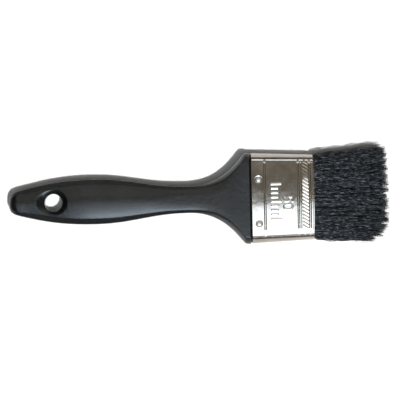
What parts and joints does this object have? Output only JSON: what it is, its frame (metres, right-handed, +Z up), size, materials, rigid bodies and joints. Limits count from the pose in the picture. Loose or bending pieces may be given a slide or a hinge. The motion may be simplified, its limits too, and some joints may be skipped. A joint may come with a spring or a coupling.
{
  "type": "flat paint brush",
  "caption": "Flat paint and varnish brush with a black moulded handle and hanging hole, a tinplate ferrule with pressed beads, and a sprung pack of black bristles.",
  "frame": {"origin": "under the middle of the brush's bounding box, on the table it lies on", "axes": "+X along the brush to the bristle tips, +Y across its width, +Z up out of the upper flat face"},
  "size_m": [0.2258, 0.0562, 0.0172],
  "materials": {
    "handle_plastic": "black, moulded, satin with a fine grain",
    "tinplate": "bright rolled tinplate, lightly brushed",
    "nail_steel": "bright steel",
    "resin": "cured amber resin",
    "plug_wood": "sawn softwood",
    "bristle": "black bristle with a dull sheen"
  },
  "bodies": {
    "handle_and_ferrule": {"handle": "handle_plastic", "ferrule": "tinplate", "nail_top_right": "nail_steel", "nail_top_left": "nail_steel", "nail_under_right": "nail_steel", "nail_under_left": "nail_steel", "setting_resin": "resin", "spacer_plug": "plug_wood", "bristle_heel_front": "bristle", "bristle_heel_back": "bristle"},
    "bristles": {"bristle_lock_front_1": "bristle", "bristle_lock_front_2": "bristle", "bristle_lock_front_3": "bristle", "bristle_lock_front_4": "bristle", "bristle_lock_front_5": "bristle", "bristle_lock_front_6": "bristle", "bristle_lock_front_7": "bristle", "bristle_lock_back_1": "bristle", "bristle_lock_back_2": "bristle", "bristle_lock_back_3": "bristle", "bristle_lock_back_4": "bristle", "bristle_lock_back_5": "bristle", "bristle_lock_back_6": "bristle"}
  },
  "joints": [
    {"name": "bristle_bend", "type": "hinge", "parent": "handle_and_ferrule", "child": "bristles", "pos_m": [0.07545, 0, 0.0086], "axis": [0, -1, 0], "range_deg": [-35, 35], "stiffness_Nm_per_rad": 0.17, "deforming": ["bristle_heel_front", "bristle_heel_back"]}
  ]
}
